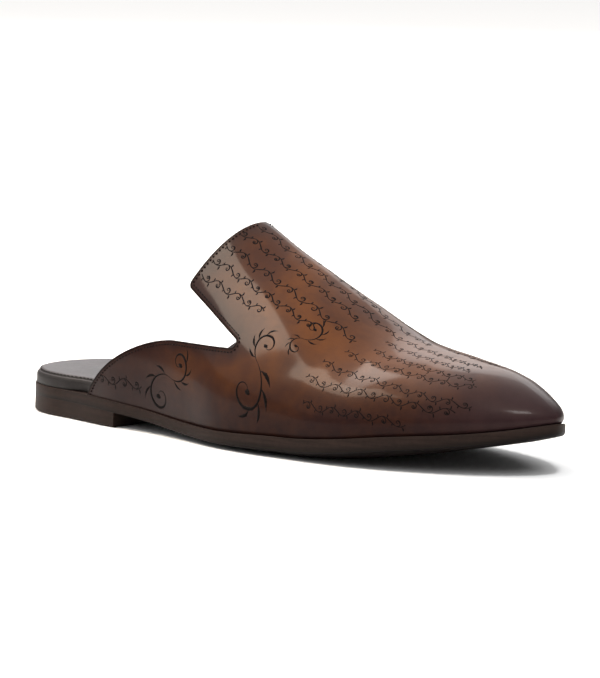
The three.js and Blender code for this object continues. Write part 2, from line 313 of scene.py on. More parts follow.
    def angle_at(self, x, z):
        """The rib angle at which the skin over station x is z high, behind the toe's dome."""
        full = column(self.ridge_rows, self.FULLNESS, x / self.shoe_length)
        base = self.top(x, self.upper_inset(x))
        rise = np.clip((z - base) / (self.ridge(x) - base), 0, 1)
        return np.arcsin(rise ** (full / 2))

    def slot(self):
        """The slot's round end in side view: its centre, its last angle and the point where it ends."""
        radius = self.notch_radius
        centre = np.array([self.notch_reach - radius, self.wing_height + radius])
        run = self.flap_back - self.notch_reach
        turn = np.arctan2(self.flap_corner - self.wing_height - 2 * radius, run) - np.pi / 2
        return centre, turn, centre + radius * np.array([np.cos(turn), np.sin(turn)])

    def flap_frame(self):
        """The flap's rear corner in side view, the directions of its lower and rear edge, its crest."""
        corner = np.array([self.flap_back, self.flap_corner])
        crest = np.array([self.flap_back + self.flap_lean, self.instep_top])
        return corner, unit(self.slot()[2] - corner), unit(crest - corner), crest

    def collar(self):
        """The collar in side view, from the wing's foot to the flap's ridge, as x and z."""
        rear, high, front = self.wing_rear, self.wing_height, self.notch_reach
        handles = np.array([
            [rear, self.heel_height],
            [rear + 2 * MM, 0.36 * high],
            [rear + 23 * MM, 0.91 * high],
            [front - 40 * MM, 0.984 * high],
        ])
        t = np.linspace(0, 1, self.CURVE_POINTS)[:, None]
        weights = [(1 - t) ** 3, 3 * (1 - t) ** 2 * t, 3 * (1 - t) * t * t, t**3]
        wing = sum(w * h for w, h in zip(weights, handles))
        flat = np.array([front - 1.5 * self.notch_radius, high])
        flat = handles[3] + (flat - handles[3]) * np.linspace(0, 1, self.FLAT_POINTS + 1)[1:, None]
        centre, turn, leave = self.slot()
        a = np.linspace(-np.pi / 2, turn, self.ARC_POINTS)[:, None]
        arc = centre + self.notch_radius * np.concatenate([np.cos(a), np.sin(a)], 1)
        corner, down, up, crest = self.flap_frame()
        p, q = corner + down * self.corner_radius, corner + up * self.corner_radius
        s = np.linspace(0, 1, self.ROUND_POINTS)[:, None]
        turned = (1 - s) ** 2 * p + 2 * (1 - s) * s * corner + s**2 * q
        low = leave + (p - leave) * np.linspace(0, 1, self.LOW_POINTS)[1:-1, None]
        back = q + (crest - q) * np.linspace(0, 1, self.REAR_POINTS)[1:, None]
        return np.concatenate([wing, flat, arc, low, turned, back])

    def slot_dip(self, x):
        """Half height of the slot's round end at x."""
        dip = np.clip((x - self.slot()[0][0]) / self.notch_radius, 0, 1)
        return self.notch_radius * np.sqrt(1 - dip**2)

    def wing_top(self, x):
        """Height of the wing's top line at x."""
        lower = self.collar()[: self.WING_POINTS]
        front, middle = self.slot()[0]
        z = np.interp(x, lower[:, 0], lower[:, 1])
        return np.where(x > front, middle - self.slot_dip(x), z)

    def flap_low(self, x):
        """Height of the flap's lower edge at x."""
        centre, _, leave = self.slot()
        slope = (self.flap_corner - leave[1]) / (self.flap_back - leave[0])
        line = self.flap_corner + slope * (x - self.flap_back)
        return np.where(x > leave[0], centre[1] + self.slot_dip(x), line)

    def flap_rear(self, z):
        """Where the flap's rear edge is at height z."""
        share = (z - self.flap_corner) / (self.instep_top - self.flap_corner)
        return self.flap_back + self.flap_lean * share


# Share of the length, lean; then in millimetres width, depth, place across the shoe, spread across.
FOLDS = (
    (0.545, -0.10, 8.0, 0.10, -38.0, 13.0),
    (0.630, 0.32, 6.0, 0.11, -29.0, 15.0),
    (0.665, 0.28, 6.0, -0.06, -28.0, 15.0),
    (0.705, 0.24, 6.5, 0.09, -26.0, 14.0),
    (0.625, 0.30, 6.5, 0.18, 30.0, 15.0),
    (0.690, 0.24, 7.0, 0.14, 27.0, 14.0),
    (0.470, 0.00, 9.0, 0.13, 2.0, 16.0),
)
# Side; then in millimetres height over the floor, width, swell.
SHOULDERS = ((OUTSIDE, 30.5, 5.5, 0.75), (INSIDE, 30.5, 6.0, 0.55))
SHOULDER_START, SHOULDER_END = 0.60, 0.88
SHOULDER_RISE, SHOULDER_FADE = 0.06, 0.08
RIDGE_SOFTNESS = 8 * MM
PLAIN_FOOT, FOOT_FADE = 4 * MM, 10 * MM


def creased(last, points):
    """The skin with its walking folds and the soft shoulders along both sides of the vamp."""
    x, y, z = (points - last.shift).T
    middle = np.stack([x, last.centre(x), 0.3 * last.ridge(x)], 1)
    push = np.zeros(len(points))
    for share, lean, width, depth, across, spread in FOLDS:
        line = share * last.shoe_length + lean * np.abs(y)
        push -= depth * MM * bell(x - line, width * MM) * bell(y - across * MM, spread * MM)
    along = x / last.shoe_length
    reach = smooth((along - SHOULDER_START) / SHOULDER_RISE)
    reach = reach * (1 - smooth((along - SHOULDER_END) / SHOULDER_FADE))
    for side, height, width, swell in SHOULDERS:
        beside = smooth(side * (y - last.centre(x)) / RIDGE_SOFTNESS)
        push += swell * MM * bell(z - height * MM, width * MM) * reach * beside
    foot = smooth((z - last.top(x, 0 * x) - PLAIN_FOOT) / FOOT_FADE)
    return points + unit(points - last.shift - middle) * (push * foot)[:, None]


def grid_quads(rows, columns):
    """Faces of a grid of points kept row by row."""
    i = np.arange(rows - 1)[:, None] * columns + np.arange(columns - 1)[None, :]
    return np.stack([i, i + 1, i + columns + 1, i + columns], -1).reshape(-1, 4)


def tube_quads(rings, around):
    """Faces of a tube of points kept ring by ring."""
    a = np.arange((rings - 1) * around).reshape(-1, around)
    b = np.roll(a, -1, axis=1)
    return np.stack([a, b, b + around, a + around], -1).reshape(-1, 4)


def join_parts(parts):
    """Several point arrays and face lists as one."""
    points, faces, start = [], [], 0
    for some_points, some_faces in parts:
        points.append(some_points.reshape(-1, 3))
        faces += [[start + int(corner) for corner in face] for face in some_faces]
        start += len(points[-1])
    return np.concatenate(points), faces


def make_object(name, parts, material, weld=0.0):
    """A mesh object from parts, welded, smooth, facing outwards and riding on the one body."""
    points, faces = join_parts(parts)
    mesh = bpy.data.meshes.new(name)
    mesh.from_pydata(points.tolist(), [], faces)
    bm = bmesh.new()
    bm.from_mesh(mesh)
    if weld:
        bmesh.ops.remove_doubles(bm, verts=bm.verts, dist=weld)
        bmesh.ops.dissolve_degenerate(bm, edges=bm.edges, dist=weld / 4)
    bmesh.ops.recalc_face_normals(bm, faces=bm.faces)
    bm.to_mesh(mesh)
    bm.free()
    mesh.shade_smooth()
    mesh.materials.append(material)
    piece = bpy.data.objects.new(name, mesh)
    bpy.context.scene.collection.objects.link(piece)
    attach(piece, "root")
    return piece


def apply_modifiers(piece):
    """Leaves the piece with the mesh that its modifiers make."""
    graph = bpy.context.evaluated_depsgraph_get()
    mesh = bpy.data.meshes.new_from_object(piece.evaluated_get(graph))
    piece.modifiers.clear()
    old = piece.data
    piece.data = mesh
    bpy.data.meshes.remove(old)


def coordinates(piece):
    """The piece's vertices as an array."""
    found = np.empty(len(piece.data.vertices) * 3)
    piece.data.vertices.foreach_get("co", found)
    return found.reshape(-1, 3)


def rise_of(piece):
    """The upward share of each vertex normal."""
    return np.array([v.normal.z for v in piece.data.vertices])


def distance_to(points, line):
    """Distance of each point to the nearest point of a dense line."""
    found = np.full(len(points), np.inf)
    for start in range(0, len(line), 64):
        gap = points[:, None, :] - line[None, start : start + 64, :]
        found = np.minimum(found, np.sqrt((gap**2).sum(2)).min(1))
    return found


def add_attribute(piece, name, values):
    """A number on each vertex, for the materials."""
    attribute = piece.data.attributes.new(name, "FLOAT", "POINT")
    attribute.data.foreach_set("value", np.asarray(values, np.float32))


class Channel:
    """A socket's value with arithmetic that adds Math nodes."""

    def __init__(self, finish, socket):
        self.finish = finish
        self.socket = socket

    def __add__(self, other):
        return self.finish.maths("ADD", self, other)

    def __sub__(self, other):
        return self.finish.maths("SUBTRACT", self, other)

    def __rsub__(self, other):
        return self.finish.maths("SUBTRACT", other, self)

    def __mul__(self, other):
        return self.finish.maths("MULTIPLY", self, other)

    __radd__, __rmul__ = __add__, __mul__


class Finish:
    """A material under construction."""

    def __init__(self, name):
        self.material = bpy.data.materials.new(name)
        self.material.use_nodes = True
        self.tree = self.material.node_tree
        self.tree.nodes.clear()
        self.output = self.node("ShaderNodeOutputMaterial")

    def node(self, kind, settings=None, inputs=None):
        """A node of any type: its settings first, then its sockets' values or links."""
        made = self.tree.nodes.new(kind)
        for key, value in (settings or {}).items():
            setattr(made, key, value)
        for key, value in (inputs or {}).items():
            if isinstance(value, Channel):
                self.tree.links.new(value.socket, made.inputs[key])
            else:
                made.inputs[key].default_value = value
        return made

    def channel(self, kind, settings=None, inputs=None, output=0):
        return Channel(self, self.node(kind, settings, inputs).outputs[output])

    def maths(self, operation, *values):
        return self.channel("ShaderNodeMath", {"operation": operation}, dict(enumerate(values)))

    def attribute(self, name):
        return self.channel("ShaderNodeAttribute", {"attribute_name": name}, output="Fac")

    def place(self):
        return self.channel("ShaderNodeTexCoord", output="Object")

    def stretched(self, scale):
        """The place on the object, scaled along each axis."""
        inputs = {0: self.place(), 1: scale}
        return self.channel("ShaderNodeVectorMath", {"operation": "MULTIPLY"}, inputs)

    def noise(self, scale, detail, roughness, where=None, distortion=0.0):
        inputs = {
            "Vector": where or self.place(),
            "Scale": scale,
            "Detail": detail,
            "Roughness": roughness,
            "Distortion": distortion,
        }
        return self.channel("ShaderNodeTexNoise", None, inputs, "Fac")

    def cells(self, scale):
        """Distance to the edge of rounded cells, for leather grain."""
        inputs = {"Vector": self.place(), "Scale": scale}
        return self.channel("ShaderNodeTexVoronoi", {"feature": "DISTANCE_TO_EDGE"}, inputs, "Distance")

    def between(self, value, low, high):
        """An eased step from 0 to 1 as value goes from low to high."""
        inputs = {"Value": value, "From Min": low, "From Max": high}
        return self.channel("ShaderNodeMapRange", {"interpolation_type": "SMOOTHSTEP"}, inputs, "Result")

    def blend(self, share, first, second):
        """Two colours mixed by a share."""
        pair = [(*c, 1.0) if isinstance(c, tuple) else c for c in (first, second)]
        return self.channel("ShaderNodeMix", {"data_type": "RGBA"}, {0: share, 6: pair[0], 7: pair[1]}, 2)

    def bump(self, height, distance, strength, under=None):
        inputs = {"Height": height, "Distance": distance, "Strength": strength}
        if under is not None:
            inputs["Normal"] = under
        return self.channel("ShaderNodeBump", None, inputs, "Normal")

    def surface(self, inputs):
        """Ends the material with one Principled shader."""
        shader = self.node("ShaderNodeBsdfPrincipled", None, inputs)
        self.tree.links.new(shader.outputs[0], self.output.inputs["Surface"])
        return self.material


def colour_of(name, share=1.0):
    """A colour of the scene's settings, or a darker or lighter one, as a plain tuple."""
    return tuple(share * c for c in getattr(bpy.context.scene.slipper_colours, name))


def burnished_calf():
    """Upper leather: warm in the open areas, hand-burnished dark at edges, wings and toe, and darker
    towards the foot with burnish and painted shade.
    """
    f = Finish("burnished_calf")
    edge, foot, toe, wing = (f.attribute(name) for name in ("edge", "foot", "toe", "wing"))
    cloud = f.noise(17.0, 3.0, 0.55, distortion=0.7)
    fine = f.noise(130.0, 5.0, 0.6)
    streak = f.noise(34.0, 4.0, 0.6, where=f.stretched((0.5, 1.6, 1.6)))
    open_area = f.between(cloud * 0.7 + streak * 0.3, 0.38, 0.60)
    skin = f.blend(open_area, colour_of("brown"), colour_of("warm"))
    near_edge = 1 - f.between(edge + cloud * 0.006, 0.002, 0.019)
    # Darker towards the foot: partly burnish, partly painted shade of the upper's lower side.
    foot_rub_and_shade = 1 - f.between(foot + cloud * 0.016, 0.012, 0.050)
    rub_and_shade = f.maths("MAXIMUM", near_edge * 0.9, foot_rub_and_shade * 0.95)
    rub_and_shade = f.maths("MAXIMUM", rub_and_shade, wing * (1.05 - cloud * 0.85))
    rub_and_shade = rub_and_shade * (0.80 + fine * 0.36)
    shaded = f.blend(rub_and_shade, skin, colour_of("burnish"))
    toe_share = (1 - f.between(toe + cloud * 0.035, 0.020, 0.098)) * 0.92
    coloured = f.blend(toe_share, shaded, colour_of("toe"))
    coloured = f.blend(f.between(fine, 0.42, 0.75) * 0.25, coloured, colour_of("burnish"))
    rim = 1 - f.between(edge, 0.0005, 0.0013)
    coloured = f.blend(rim, coloured, colour_of("burnish", 0.35))
    grain = f.bump(f.between(f.cells(1500.0), 0.0, 0.25), 0.00004, 0.14)
    rolls = f.bump(f.noise(60.0, 3.0, 0.5), 0.0005, 0.09, under=grain)
    polish = f.maths("MAXIMUM", f.between(foot, 0.003, 0.034), wing * 0.9)
    off_edge = f.between(edge, 0.0007, 0.0024)
    return f.surface({
        "Base Color": coloured,
        "Roughness": 0.36 + fine * 0.10 - toe_share * 0.08,
        "Coat Weight": off_edge * (0.04 + polish * (0.22 - wing * 0.09)),
        "Coat Roughness": 0.10,
        "Specular IOR Level": 0.05,
        "Specular Tint": (1.0, 0.80, 0.66, 1.0),
        "Normal": rolls,
    })


def lining_leather():
    """Dark lining and footbed leather with a fine grain and a soft sheen."""
    f = Finish("lining_leather")
    cloud = f.noise(40.0, 4.0, 0.6)
    fine = f.noise(400.0, 4.0, 0.6)
    coloured = f.blend(f.between(cloud, 0.3, 0.7), colour_of("lining", 0.6), colour_of("lining"))
    # Goes to the rim colour where the surface turns away from up, at the rounded rim and sides.
    coloured = f.blend(f.attribute("rim") * 0.95, coloured, colour_of("insole_rim"))
    grain = f.bump(f.between(f.cells(1100.0), 0.0, 0.3), 0.00006, 0.35)
    return f.surface({
        "Base Color": coloured,
        "Roughness": 0.38 + fine * 0.12 + f.attribute("rim") * 0.1,
        "Specular IOR Level": 0.22,
        "Normal": f.bump(fine, 0.0002, 0.12, under=grain),
    })


def sole_edge():
    """Stained and waxed edge of sole and heel, with painted shade on the underside and along the
    forefoot's low edge.
    """
    f = Finish("sole_edge")
    layers = f.noise(60.0, 5.0, 0.65, where=f.stretched((0.6, 0.6, 14.0)))
    fine = f.noise(500.0, 4.0, 0.6)
    stain = f.between(layers * 0.7 + fine * 0.3, 0.3, 0.7)
    coloured = f.blend(stain, colour_of("sole", 0.55), colour_of("sole"))
    # Painted shade: darker on downward faces and along the low band of the forefoot's edge.
    coloured = f.blend(f.attribute("under") * 0.95, coloured, colour_of("sole", 0.15))
    return f.surface({
        "Base Color": coloured,
        "Roughness": 0.48 + layers * 0.14,
        "Specular IOR Level": 0.09,
        "Normal": f.bump(layers * 0.6 + fine * 0.4, 0.00012, 0.3),
    })


def inked_groove():
    """The burnt and inked lines of the engraving."""
    f = Finish("inked_groove")
    fine = f.noise(900.0, 3.0, 0.6)
    return f.surface({
        "Base Color": f.blend(f.between(fine, 0.35, 0.8), colour_of("ink"), colour_of("ink", 2.6)),
        "Roughness": 0.5 + fine * 0.2,
        "Specular IOR Level": 0.03,
        "Normal": f.bump(fine, 0.00003, 0.4),
    })


def waxed_thread():
    """Twisted, waxed thread."""
    f = Finish("waxed_thread")
    twist = f.noise(1500.0, 2.0, 0.5, where=f.stretched((1.0, 1.0, 1.8)))
    return f.surface({
        "Base Color": f.blend(f.between(twist, 0.35, 0.7), colour_of("thread"), colour_of("thread", 2.2)),
        "Roughness": 0.55 + twist * 0.1,
        "Specular IOR Level": 0.08,
        "Normal": f.bump(twist, 0.00006, 0.5),
    })


def studio_floor():
    """Plain pale floor with hardly any mottling."""
    f = Finish("studio_floor")
    cloud = f.noise(1.5, 2.0, 0.5)
    return f.surface({
        "Base Color": f.blend(cloud, colour_of("floor", 0.98), colour_of("floor")),
        "Roughness": 0.9,
        "Specular IOR Level": 0.1,
    })


class Skin:
    """The upper's skin laid flat: u runs along the shoe, v is the distance round it from the ridge."""

    STEP, REACH = 1.0 * MM, 118 * MM
    TOE_GAP, TOE_MARGIN = 2 * MM, 9 * MM
    RIB_POINTS = 140

    def __init__(self, last):
        self.last = last
        self.u = np.arange(last.wing_rear, last.shoe_length - self.TOE_GAP, self.STEP)
        self.v = np.arange(-self.REACH, self.REACH + self.STEP / 2, self.STEP)
        self.table = np.empty((len(self.u), len(self.v), 3))
        self.girth = np.empty((len(self.u), 2))
        angles = np.linspace(np.pi / 2, 0, self.RIB_POINTS)
        for i, u in enumerate(self.u):
            for k, side in enumerate(SIDES):
                points = last.rib(u, side, angles)
                run = length_along(points)
                self.girth[i, k] = run[-1]
                where = self.v * side >= 0
                for axis in range(3):
                    self.table[i, where, axis] = np.interp(np.abs(self.v[where]), run, points[:, axis])

    def place(self, u, v):
        """Points of the skin at u and v."""
        i = np.clip((u - self.u[0]) / (self.u[1] - self.u[0]), 0, len(self.u) - 1.001)
        j = np.clip((v - self.v[0]) / (self.v[1] - self.v[0]), 0, len(self.v) - 1.001)
        a, b = i.astype(int), j.astype(int)
        s, t = (i - a)[:, None], (j - b)[:, None]
        low = self.table[a, b] * (1 - t) + self.table[a, b + 1] * t
        high = self.table[a + 1, b] * (1 - t) + self.table[a + 1, b + 1] * t
        return low * (1 - s) + high * s

    def inside(self, u, v, margin):
        """Whether a point lies on the leather, a margin away from collar and sole."""
        last = self.last
        p = self.place(u, v)
        x, z = p[:, 0] - last.shift[0], p[:, 2]
        outer, inner = (np.interp(u, self.u, self.girth[:, k]) for k in (0, 1))
        on_rib = np.abs(v) < np.where(v < 0, outer, inner) - margin
        front = x > last.notch_reach + margin
        flap = (z > last.flap_low(x) + margin) & (x > last.flap_rear(z) + margin)
        wing = (z < last.wing_top(x) - margin) & (x > last.wing_rear + 3 * margin)
        return on_rib & (u < last.shoe_length - self.TOE_MARGIN) & (front | flap | wing)


def heading_at(points, at):
    """Direction of a flat line at one of its points."""
    dx, dy = points[at + 1] - points[at]
    return np.arctan2(dy, dx)


def steered(start, course, step):
    """A flat line from a start point that takes a step along each course."""
    run = np.cumsum(np.stack([np.cos(course), np.sin(course)], 1) * step, axis=0)
    return np.concatenate([[start], np.asarray(start) + run])


class Burin:
    """Collects engraved strokes, in millimetres of the flat skin, as points and widths."""

    STEM_STEP = 0.6
    PITCH, SWAY, DRIFT, DRIFT_RUN = 2.6, 0.62, 0.9, 37
    VINE_POINTS, SCROLL_POINTS = 22, 46

    def __init__(self, seed):
        self.random = np.random.default_rng(seed)
        self.strokes = []

    def swelled(self, points, thick, thin=0.3):
        """A stroke that swells in its middle, as a pushed burin cuts it."""
        t = np.linspace(0, 1, len(points))
        self.strokes.append((points, thin + (thick - thin) * np.sin(np.pi * t) ** 1.3))

    def volute(self, start, heading, size, turns, hand, thick, count):
        """A scroll that leaves start along heading and winds up to its eye; gives back its points."""
        t = (np.arange(count) + 0.5) / count
        radius = size * (1 - 0.86 * t**0.8)
        pace = 1 / radius
        turn = 2 * np.pi * turns * (np.cumsum(pace) - pace / 2) / pace.sum()
        step = radius * 2 * np.pi * turns * pace / pace.sum()
        points = steered(start, heading + hand * turn, step[:, None])
        self.swelled(points, thick)
        return points

    def leaf(self, root, heading, size, bend, thick, count=5):
        """A pointed leaf: one fat curved stroke."""
        course = heading + bend * np.linspace(0, 1, count)
        self.swelled(steered(root, course, size / count), thick, 0.15)

    def berry(self, at, size):
        """A round dot."""
        t = np.linspace(-1, 1, 5)
        points = np.stack([at[0] + t * size / 2, np.full(5, at[1])], 1)
        self.strokes.append((points, size * np.sqrt(1.04 - t**2)))

    def vine(self, start, heading, run, size, weight):
        """A running scroll: a waving stem that winds up in a volute inside each of its bends."""
        draw = self.random
        along = np.array([np.cos(heading), np.sin(heading)])
        across = np.array([-along[1], along[0]])
        pitch = self.PITCH * size
        bends = int(run / pitch)
        t = np.arange(0, bends * pitch, self.STEM_STEP)
        phase = draw.uniform(0, 6)
        drift = self.DRIFT * np.sin(t / self.DRIFT_RUN + phase) - self.DRIFT * np.sin(phase)
        sway = self.SWAY * size * np.sin(np.pi * t / pitch)
        stem = np.asarray(start) + t[:, None] * along + (sway + drift)[:, None] * across
        self.strokes.append((stem, weight * (0.58 + 0.14 * np.cos(2 * np.pi * t / pitch))))
        for k in range(bends):
            hand = -1 if k % 2 else 1
            at = int((k + 0.38) * pitch / self.STEM_STEP)
            if at + 3 >= len(stem):
                break
            course = heading_at(stem, at)
            reach = size * draw.uniform(0.80, 0.92)
            turns = draw.uniform(1.2, 1.5)
            eye = self.volute(stem[at], course, reach, turns, -hand, 0.82 * weight, self.VINE_POINTS)
            if draw.random() < 0.5:
                self.berry(eye[-1], draw.uniform(0.8, 1.1))
            tip = stem[min(at + 4, len(stem) - 1)]
            self.leaf(tip, course + hand * 0.7, size * draw.uniform(0.6, 0.95), hand * 0.9, 1.1 * weight)
            back = stem[max(at - 2, 0)]
            small = size * draw.uniform(0.45, 0.65)
            self.leaf(back, course + hand * 1.9, small, -hand * 0.7, 0.95 * weight, 4)


# Start along and across, lean, run, size, weight of line.
VINES = (
    (116, -4, 0, 162, 2.5, 1.2),
    (114, -13, 0.01, 80, 2.4, 1.35),
    (113, -22, 0.01, 86, 2.7, 1.35),
    (112, -31, 0.02, 74, 2.4, 1.35),
    (111, -40, 0.03, 50, 2.5, 1.35),
    (204, -13, 0.01, 62, 2.3, 1.0),
    (206, -22, 0.03, 64, 2.4, 1.0),
    (198, -31, 0.05, 76, 2.5, 1.0),
    (194, -41, 0.08, 76, 2.4, 1.0),
    (192, -51, 0.12, 72, 2.5, 1.0),
    (196, -61, 0.18, 56, 2.4, 1.0),
    (116, 5, 0, 100, 2.4, 1.2),
    (115, 14, -0.01, 158, 2.6, 1.2),
    (114, 23, -0.01, 96, 2.4, 1.2),
    (113, 31, -0.02, 60, 2.4, 1.2),
    (222, 5, 0, 52, 2.2, 1.0),
    (200, 24, -0.03, 70, 2.4, 1.0),
    (192, 34, -0.07, 74, 2.5, 1.0),
    (190, 44, -0.12, 70, 2.4, 1.0),
    (186, 55, -0.18, 56, 2.5, 1.0),
    (64, -92, 0.02, 34, 2.8, 1.2),
    (66, 86, -0.02, 30, 2.7, 1.2),
)
# Start along and across, heading, size, turns, hand, thickness.
SCROLLS = (
    (112, -85, 2.8, 12.5, 1.35, 1, 2.2),
    (112, -85, -0.34, 10.5, 1.25, 1, 2.0),
    (166, -58, -0.5, 15.5, 1.2, -1, 2.2),
    (166, -58, 2.64, 10.0, 1.1, -1, 1.7),
    (180, -38, 0.3, 8.0, 1.2, 1, 1.4),
    (180, -38, 3.44, 6.0, 1.1, 1, 1.2),
    (113, 80, -2.8, 12.5, 1.35, -1, 2.0),
    (113, 80, 0.34, 11.0, 1.25, -1, 1.8),
    (168, 46, 0.4, 12.0, 1.2, 1, 1.9),
    (168, 46, 3.54, 8.0, 1.1, 1, 1.5),
)
LEAF_PLACES = (0.1, 0.24, 0.38, 0.52)
SEED = 11


def engraved_strokes():
    """The whole ornament: fine running scrolls in slanting rows, and large scrolls over them."""
    burin = Burin(SEED)
    for u, v, *row in VINES:
        burin.vine((u, v), *row)
    for u, v, heading, size, turns, hand, thick in SCROLLS:
        eye = burin.volute((u, v), heading, size, turns, hand, thick, burin.SCROLL_POINTS)
        burin.berry(eye[-1], 1.4 * thick)
        for share in LEAF_PLACES:
            at = int(share * len(eye))
            course = heading_at(eye, at) - hand * 0.9
            burin.leaf(eye[at], course, 0.6 * size, hand * 1.0, 0.16 * size, 8)
    return burin.strokes


def ribbon(points, normals, widths, sink, proud):
    """A closed three-sided strip along points: both edges in the leather and a low crown over it."""
    side = unit(np.cross(normals, unit(np.gradient(points, axis=0)))) * widths[:, None] / 2
    low = points - normals * sink
    ring = np.stack([low - side, points + normals * proud, low + side], 1)
    end = (len(points) - 1) * 3
    caps = [[2, 1, 0], [end, end + 1, end + 2]]
    return ring, [*tube_quads(len(points), 3), *caps]


def tree_of(piece):
    """A search tree of the piece's surface."""
    mesh = piece.data
    return BVHTree.FromPolygons([v.co for v in mesh.vertices], [tuple(p.vertices) for p in mesh.polygons])


def snapped(tree, points):
    """The nearest points of a surface, and its normals there."""
    found = [tree.find_nearest(Vector(p)) for p in points]
    return np.array([f[0] for f in found]), np.array([f[1] for f in found])


STITCH_STATIONS = np.array([-0.5, -0.3, 0.0, 0.3, 0.5])
STITCH_ARCH = np.array([-0.9, 0.25, 0.5, 0.25, -0.9])[:, None]
STITCH_GIRTH = np.array([0.55, 0.95, 1.0, 0.95, 0.55])[:, None, None]
STITCH_CAPS = [[0, 5, 4, 3], [3, 2, 1, 0], [24, 25, 26, 27], [27, 28, 29, 24]]


def stitches(line, normals, pitch, share, thickness, sink):
    """Short round stitches laid along a line that lies on a surface."""
    run = length_along(line)
    a = np.arange(6) / 6 * 2 * np.pi
    cos, sin = np.cos(a)[None, :, None], np.sin(a)[None, :, None]
    faces = [*tube_quads(5, 6), *STITCH_CAPS]
    parts = []
    for k in range(int(run[-1] / pitch)):
        s = (k + 0.5) * pitch + STITCH_STATIONS * pitch * share
        points, normal = (
            np.stack([np.interp(s, run, rows[:, axis]) for axis in range(3)], 1)
            for rows in (line, normals)
        )
        normal = unit(normal)
        points = points + normal * (STITCH_ARCH * thickness - sink)
        across = np.cross(normal, unit(np.gradient(points, axis=0)))
        girth = STITCH_GIRTH * thickness / 2
        ring = points[:, None] + girth * (cos * across[:, None] + sin * normal[:, None])
        parts.append((ring, faces))
    return parts


def rounded_corner(last, x, angle):
    """Stations and rib angles of flap points, drawn in to the round of the flap's rear corner."""
    z = last.rib(x, OUTSIDE, angle)[:, 2]
    corner, low, rear, _ = last.flap_frame()
    radius = last.corner_radius
    from_low = np.array([-low[1], low[0]])
    from_rear = np.array([rear[1], -rear[0]])
    at = np.stack([x, z], 1) - corner
    a = np.clip(1 - at @ from_low / radius, 0, 1)
    b = np.clip(1 - at @ from_rear / radius, 0, 1)
    near = (a > 0) & (b > 0)
    pull_a = a * (1 - np.sqrt(1 - b**2 / 2)) * radius
    pull_b = b * (1 - np.sqrt(1 - a**2 / 2)) * radius
    x = x + pull_a * from_low[0] + pull_b * from_rear[0]
    z = z + pull_a * from_low[1] + pull_b * from_rear[1]
    return x, np.where(near, last.angle_at(x, z), angle)


def both_sides(last, x, angle):
    """Ribs of the outer side with those of the inner side after them, ridge to ridge."""
    outer, inner = (last.rib(x, side, angle) for side in SIDES)
    return np.concatenate([outer, inner[..., -2::-1, :]], -2)


WING_ROWS, FLAP_ROWS = 26, 44
EASE_STATIONS, VAMP_STATIONS, TIP_STATIONS, WING_STATIONS, FLAP_STATIONS = 12, 34, 66, 90, 40


def upper_skin(last):
    """Outer skin of the upper as grids that weld to one: forepart, two wings and flap."""
    ease, tip = 14 * MM, 80 * MM
    reach, back = last.notch_reach, last.flap_back
    notch = last.angle_at(reach, last.wing_height + last.notch_radius)
    x = np.concatenate([
        reach + ease * (1 - np.cos(quarter(EASE_STATIONS))),
        np.linspace(reach + ease, last.shoe_length - tip, VAMP_STATIONS)[1:],
        last.shoe_length - tip + tip * np.sin(quarter(TIP_STATIONS))[1:],
    ])
    low = notch * np.linspace(0, 1, WING_ROWS)[:-1]
    high = notch + (np.pi / 2 - notch) * np.linspace(0, 1, FLAP_ROWS)
    grids = [both_sides(last, x[:, None], np.concatenate([low, high])[None, :])]
    x = reach - (reach - last.wing_rear) * eased(WING_STATIONS)
    angle = last.angle_at(x, last.wing_top(x))[:, None] * np.linspace(0, 1, WING_ROWS)[None, :]
    grids += [last.rib(x[:, None], side, angle) for side in SIDES]
    share = np.linspace(0, 1, FLAP_ROWS)
    rear = np.full(FLAP_ROWS, back)
    for _ in range(6):
        floor = last.angle_at(rear, last.flap_low(np.minimum(rear, reach)))
        floor = np.where(share > 0, last.angle_at(back, last.flap_corner), floor)
        angle = floor + (np.pi / 2 - floor) * share
        rear = last.flap_rear(last.rib(rear, OUTSIDE, angle)[:, 2])
    rows = []
    for s in 1 - np.cos(quarter(FLAP_STATIONS)):
        x = reach + (rear - reach) * s
        low_x = reach + (back - reach) * s
        floor = last.angle_at(low_x, last.flap_low(low_x))
        x, angle = rounded_corner(last, x, floor + (np.pi / 2 - floor) * share)
        rows.append(both_sides(last, x, angle))
    grids.append(np.array(rows))
    return [(creased(last, grid.reshape(-1, 3)), grid_quads(*grid.shape[:2])) for grid in grids]


def collar_line(last, side, inset):
    """The collar's edge on one side as points on the skin, moved into the leather by an inset."""
    line = last.collar()
    run = unit(np.gradient(line, axis=0))
    line = line + inset * np.stack([run[:, 1], -run[:, 0]], 1)
    x, z = line[line[:, 1] < last.ridge(line[:, 0])].T
    return last.rib(x, side, last.angle_at(x, z))


